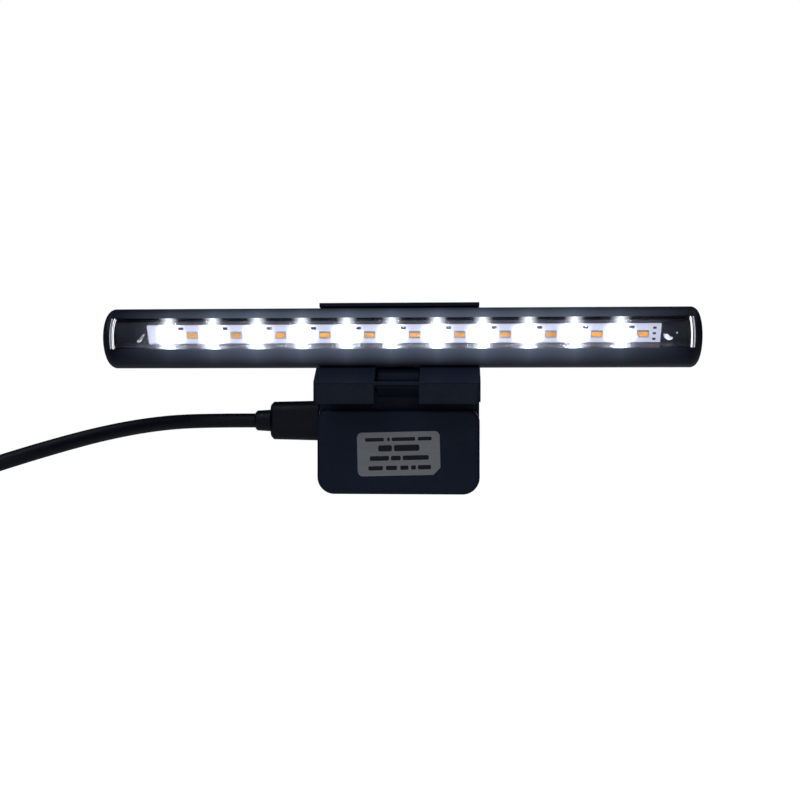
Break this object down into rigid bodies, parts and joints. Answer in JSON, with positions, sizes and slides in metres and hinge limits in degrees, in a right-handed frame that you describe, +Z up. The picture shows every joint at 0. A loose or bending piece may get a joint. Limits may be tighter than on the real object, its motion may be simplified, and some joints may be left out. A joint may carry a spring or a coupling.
{
  "type": "monitor light bar",
  "caption": "Clip-on light bar for a screen's top edge: a tilting tube lamp in a cradle, a spring clamp with a hinged control box, and a side lead.",
  "frame": {"origin": "middle of the soft seat's underside, which rests on the top edge of the screen", "axes": "+X along the light bar, -Y is the front, where the window and the label face, +Z up; -Z points out of the seat into the clamp's slot"},
  "size_m": [0.2771, 0.08, 0.162],
  "materials": {
    "dark_plastic": "moulded, fine matt grain",
    "button_plastic": "satin",
    "tube_black": "black satin coat",
    "cap_plastic": "satin",
    "liner_felt": "pressed felt",
    "soft_rubber": "matt silicone",
    "steel": "plain",
    "clear_lens": "clear moulded plastic",
    "white_board": "white solder mask",
    "led_package": "white",
    "cool_light": "lit cool white",
    "warm_phosphor": "unlit amber phosphor",
    "chip_black": "plain",
    "solder": "dull solder",
    "clear_glue": "clear glue",
    "wire_sheath": "pvc sheath",
    "silver_label": "satin silver film",
    "green_board": "solder mask",
    "tongue_white": "plain",
    "cord_black": "satin pvc",
    "tie_black": "hook and loop strap"
  },
  "bodies": {
    "clip": {"cradle": "dark_plastic", "friction_liners": "liner_felt", "wire_cover": "dark_plastic", "clip_frame": "dark_plastic", "lip_sleeves": "soft_rubber", "seat_pad": "soft_rubber", "hinge_pin": "steel", "torsion_springs": "steel"},
    "light_bar": {"tube_housing": "tube_black", "lens_cover": "clear_lens", "end_cap_left": "cap_plastic", "end_cap_right": "cap_plastic", "led_board": "white_board", "cool_led_packages": "led_package", "cool_led_phosphor": "cool_light", "warm_led_packages": "led_package", "warm_led_phosphor": "warm_phosphor", "board_resistors": "chip_black", "solder_pads": "solder", "glue_dots": "clear_glue", "bar_wires": "wire_sheath"},
    "rear_box": {"front_shell": "dark_plastic", "rear_shell": "dark_plastic", "shell_screws": "steel", "rating_label": "silver_label", "driver_board": "green_board", "driver_parts": "chip_black", "usb_socket": "steel", "tact_switch": "chip_black", "link_cable": "wire_sheath"},
    "button": {"mode_button": "button_plastic", "switch_plunger": "chip_black"},
    "usb_lead": {"usb_c_shell": "steel", "usb_c_insert": "chip_black", "usb_c_overmould": "cord_black", "strain_relief": "cord_black", "lead_cord": "cord_black", "lead_coil": "cord_black", "lead_tail": "cord_black", "cord_tie": "tie_black", "usb_a_relief": "cord_black", "usb_a_overmould": "cord_black", "usb_a_shell": "steel", "usb_a_tongue": "tongue_white"}
  },
  "joints": [
    {"name": "tube_tilt", "type": "hinge", "parent": "clip", "child": "light_bar", "pos_m": [0, 0.0085, 0.0158], "axis": [1, 0, 0], "range_deg": [-15, 45]},
    {"name": "clamp_swing", "type": "hinge", "parent": "clip", "child": "rear_box", "pos_m": [0, 0.006, 0.003], "axis": [1, 0, 0], "range_deg": [0, 30], "stiffness_Nm_per_rad": 0.15, "springref_deg": -57.3, "deforming": ["link_cable"]},
    {"name": "button_press", "type": "slide", "parent": "rear_box", "child": "button", "axis": [0, -1, 0], "range_m": [0, 0.0003], "stiffness_N_per_m": 150, "springref_m": -0.003},
    {"name": "usb_unplug", "type": "slide", "parent": "rear_box", "child": "usb_lead", "axis": [-1, 0, 0], "range_m": [0, 0.01]}
  ]
}
